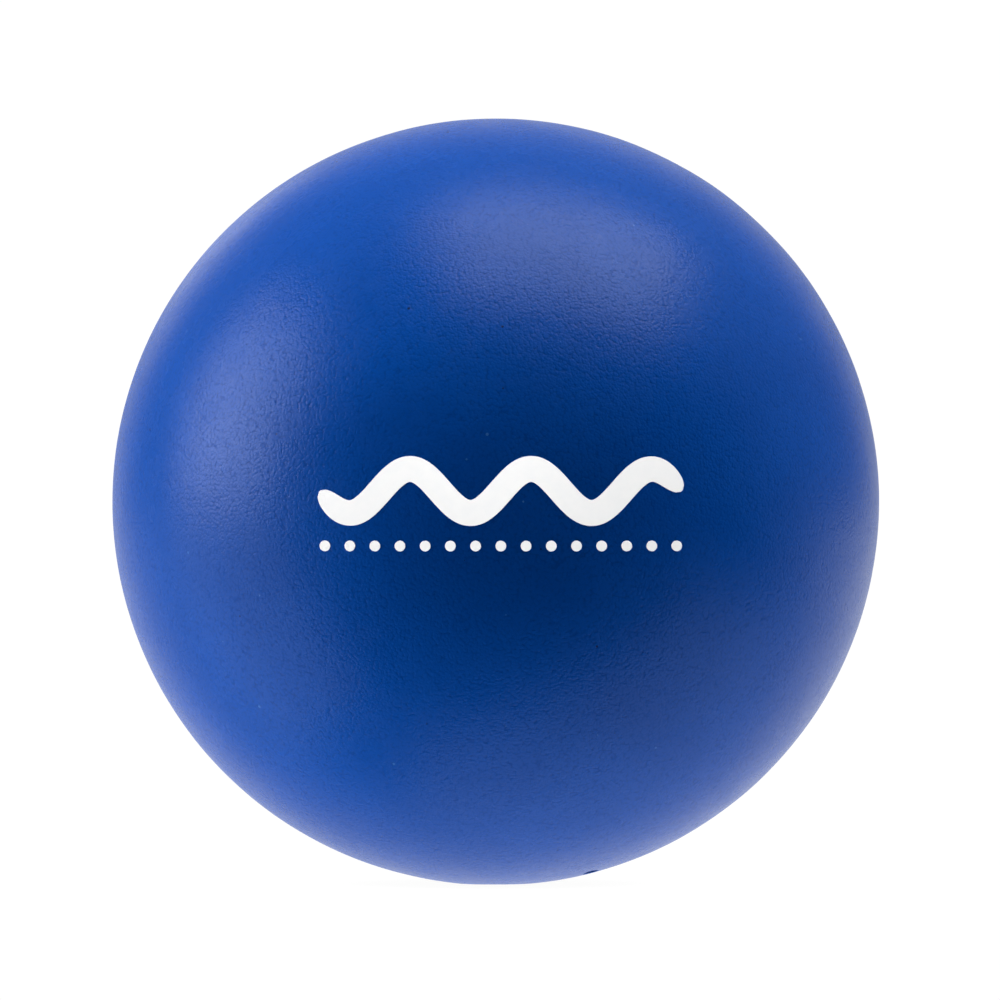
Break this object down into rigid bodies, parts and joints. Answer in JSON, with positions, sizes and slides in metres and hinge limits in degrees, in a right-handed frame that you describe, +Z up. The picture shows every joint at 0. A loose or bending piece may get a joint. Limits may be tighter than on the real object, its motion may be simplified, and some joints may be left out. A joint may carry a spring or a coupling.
{
  "type": "stress ball",
  "caption": "Round squeezable foam ball with a dense satin blue skin over a soft core, a small flat to rest on and a white printed wave over a row of dots on its front.",
  "frame": {"origin": "centre of the rest face, the small flat on the underside that the ball stands on", "axes": "+Z up through the ball's centre; -Y is the front, which carries the print; +X to the right of the print as it is read"},
  "size_m": [0.063, 0.0631, 0.0629],
  "materials": {
    "coated_skin": "satin",
    "foam": "matte",
    "gate_foam": "matte",
    "ink": "satin"
  },
  "bodies": {
    "lower_half": {"skin_lower": "coated_skin", "foam_core": "foam", "gate_stub": "gate_foam", "print_wave": "ink", "print_dot_01": "ink", "print_dot_02": "ink", "print_dot_03": "ink", "print_dot_04": "ink", "print_dot_05": "ink", "print_dot_06": "ink", "print_dot_07": "ink", "print_dot_08": "ink", "print_dot_09": "ink", "print_dot_10": "ink", "print_dot_11": "ink", "print_dot_12": "ink", "print_dot_13": "ink", "print_dot_14": "ink", "print_dot_15": "ink"},
    "upper_half": {"skin_upper": "coated_skin"}
  },
  "joints": [
    {"name": "squeeze", "type": "slide", "parent": "lower_half", "child": "upper_half", "axis": [0, 0, -1], "range_m": [0, 0.025], "stiffness_N_per_m": 2500, "deforming": ["skin_upper", "skin_lower", "foam_core", "gate_stub", "print_wave", "print_dot_01", "print_dot_02", "print_dot_03", "print_dot_04", "print_dot_05", "print_dot_06", "print_dot_07", "print_dot_08", "print_dot_09", "print_dot_10", "print_dot_11", "print_dot_12", "print_dot_13", "print_dot_14", "print_dot_15"]}
  ]
}
